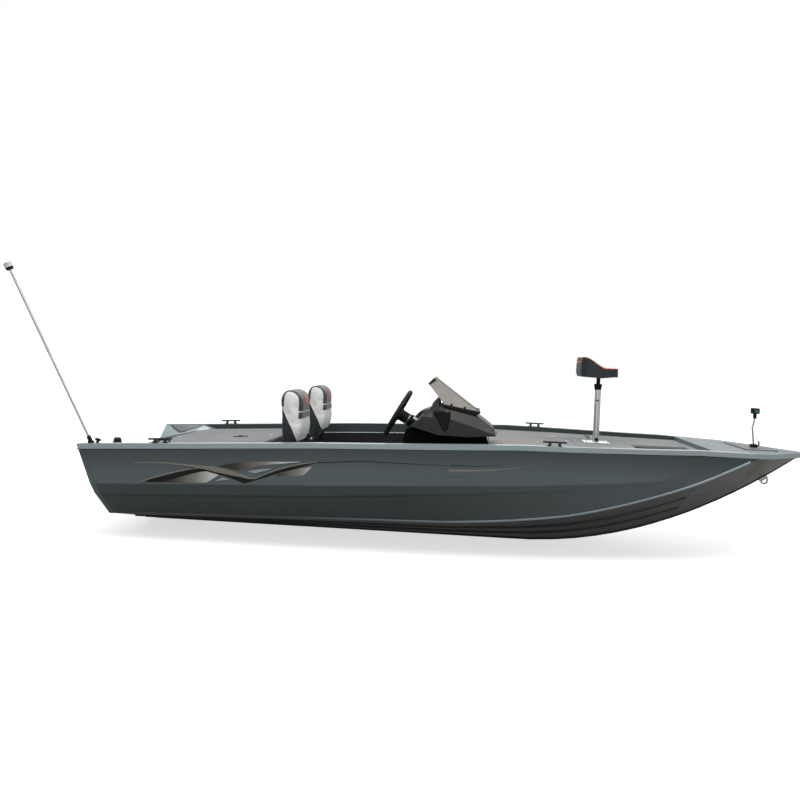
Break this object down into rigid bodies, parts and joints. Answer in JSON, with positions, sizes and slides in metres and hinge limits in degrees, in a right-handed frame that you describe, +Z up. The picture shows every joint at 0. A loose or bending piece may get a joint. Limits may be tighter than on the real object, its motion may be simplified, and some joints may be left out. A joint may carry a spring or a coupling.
{
  "type": "bass boat",
  "caption": "Decked fishing boat hull with raised bow and rear decks, storage lids, side console, two fold-down seats and a bow pedestal seat.",
  "frame": {"origin": "on the centreline at the waterline, half way along the hull", "axes": "+X towards the bow, +Y towards port, +Z up"},
  "size_m": [5.5457, 2.08, 1.7595],
  "materials": {
    "hull_paint": "satin metallic grey-green paint",
    "bottom_paint": "dark bottom paint",
    "rail_metal": "satin",
    "deck_carpet": "short grey carpet",
    "dark_carpet": "black carpet",
    "black_plastic": "textured",
    "charcoal_plastic": "moulded",
    "vinyl": "white marine vinyl",
    "bright_metal": "brushed",
    "tinted_acrylic": "bronze tint",
    "wheel_plastic": "soft grip",
    "lamp_lens": "clear lens"
  },
  "bodies": {
    "hull": {"bottom_strakes": "bottom_paint", "bow_bins": "black_plastic", "bow_bulkhead": "dark_carpet", "bow_cap": "rail_metal", "bow_deck": "deck_carpet", "bow_eye": "bright_metal", "bow_hatch_bin": "black_plastic", "bow_light_base": "black_plastic", "bow_light_head": "lamp_lens", "bow_light_tube": "bright_metal", "cleats": "bright_metal", "cockpit_floor": "dark_carpet", "cockpit_liners": "dark_carpet", "console_base": "black_plastic", "console_body": "charcoal_plastic", "console_trim": "black_plastic", "gunwale_port": "rail_metal", "gunwale_starboard": "rail_metal", "hull_bottom": "bottom_paint", "hull_side_port": "hull_paint", "hull_side_starboard": "hull_paint", "keel_strip": "bottom_paint", "pedal_recess": "black_plastic", "pedestal_plate": "rail_metal", "pedestal_post": "bright_metal", "rear_bins": "black_plastic", "rear_bulkhead": "dark_carpet", "rear_deck": "deck_carpet", "rear_seat_socket": "black_plastic", "seat_boxes": "dark_carpet", "seat_cushions": "vinyl", "seat_hinge_brackets": "bright_metal", "splash_well": "black_plastic", "steering_column": "black_plastic", "stern_corner_caps": "rail_metal", "stern_light_base": "black_plastic", "stern_light_head": "lamp_lens", "stern_light_pole": "bright_metal", "transom": "hull_paint", "trolling_motor_pad": "black_plastic", "windshield": "tinted_acrylic"},
    "steering_wheel": {"steering_wheel": "wheel_plastic"},
    "seat_back_port": {"seat_back_shell_port": "charcoal_plastic", "seat_back_pad_port": "vinyl"},
    "seat_back_starboard": {"seat_back_shell_starboard": "charcoal_plastic", "seat_back_pad_starboard": "vinyl"},
    "bow_seat": {"bow_seat_swivel": "bright_metal", "bow_seat_base": "charcoal_plastic", "bow_seat_cushion": "vinyl"},
    "rear_lid_center": {"rear_lid_center": "deck_carpet"},
    "rear_lid_port": {"rear_lid_port": "deck_carpet"},
    "rear_lid_starboard": {"rear_lid_starboard": "deck_carpet"},
    "bow_lid_center": {"bow_lid_center": "deck_carpet"},
    "rod_lid_port": {"rod_lid_port": "deck_carpet"},
    "rod_lid_starboard": {"rod_lid_starboard": "deck_carpet"},
    "bow_hatch": {"bow_hatch": "rail_metal"}
  },
  "joints": [
    {"name": "steering", "type": "hinge", "parent": "hull", "child": "steering_wheel", "pos_m": [-0.482, -0.5, 0.726], "axis": [0.8829, 0, -0.4695], "range_deg": [-540, 540]},
    {"name": "seat_fold_port", "type": "hinge", "parent": "hull", "child": "seat_back_port", "pos_m": [-1.195, 0.556, 0.437], "axis": [0, 1, 0], "range_deg": [0, 80]},
    {"name": "seat_fold_starboard", "type": "hinge", "parent": "hull", "child": "seat_back_starboard", "pos_m": [-1.195, -0.556, 0.437], "axis": [0, 1, 0], "range_deg": [0, 80]},
    {"name": "bow_seat_swivel", "type": "hinge", "parent": "hull", "child": "bow_seat", "pos_m": [0.955, 0, 0.56363], "axis": [-0.0136, 0, 0.9999], "continuous": true},
    {"name": "rear_lid_center_hinge", "type": "hinge", "parent": "hull", "child": "rear_lid_center", "pos_m": [-1.965, 0, 0.43198], "axis": [0, 1, 0], "range_deg": [0, 85]},
    {"name": "rear_lid_port_hinge", "type": "hinge", "parent": "hull", "child": "rear_lid_port", "pos_m": [-1.94, 0.39, 0.43355], "axis": [0, -1, 0], "range_deg": [0, 85]},
    {"name": "rear_lid_starboard_hinge", "type": "hinge", "parent": "hull", "child": "rear_lid_starboard", "pos_m": [-1.94, -0.565, 0.43355], "axis": [0, -1, 0], "range_deg": [0, 85]},
    {"name": "bow_lid_center_hinge", "type": "hinge", "parent": "hull", "child": "bow_lid_center", "pos_m": [0.165, 0, 0.55288], "axis": [0, -1, 0], "range_deg": [0, 85]},
    {"name": "rod_lid_port_hinge", "type": "hinge", "parent": "hull", "child": "rod_lid_port", "pos_m": [0.6725, 0.71, 0.55979], "axis": [-0.9999, 0, -0.0136], "range_deg": [0, 85]},
    {"name": "rod_lid_starboard_hinge", "type": "hinge", "parent": "hull", "child": "rod_lid_starboard", "pos_m": [0.6725, -0.71, 0.55979], "axis": [0.9999, 0, 0.0136], "range_deg": [0, 85]},
    {"name": "bow_hatch_hinge", "type": "hinge", "parent": "hull", "child": "bow_hatch", "pos_m": [1.94, 0, 0.59857], "axis": [0, 1, 0], "range_deg": [0, 85]}
  ]
}
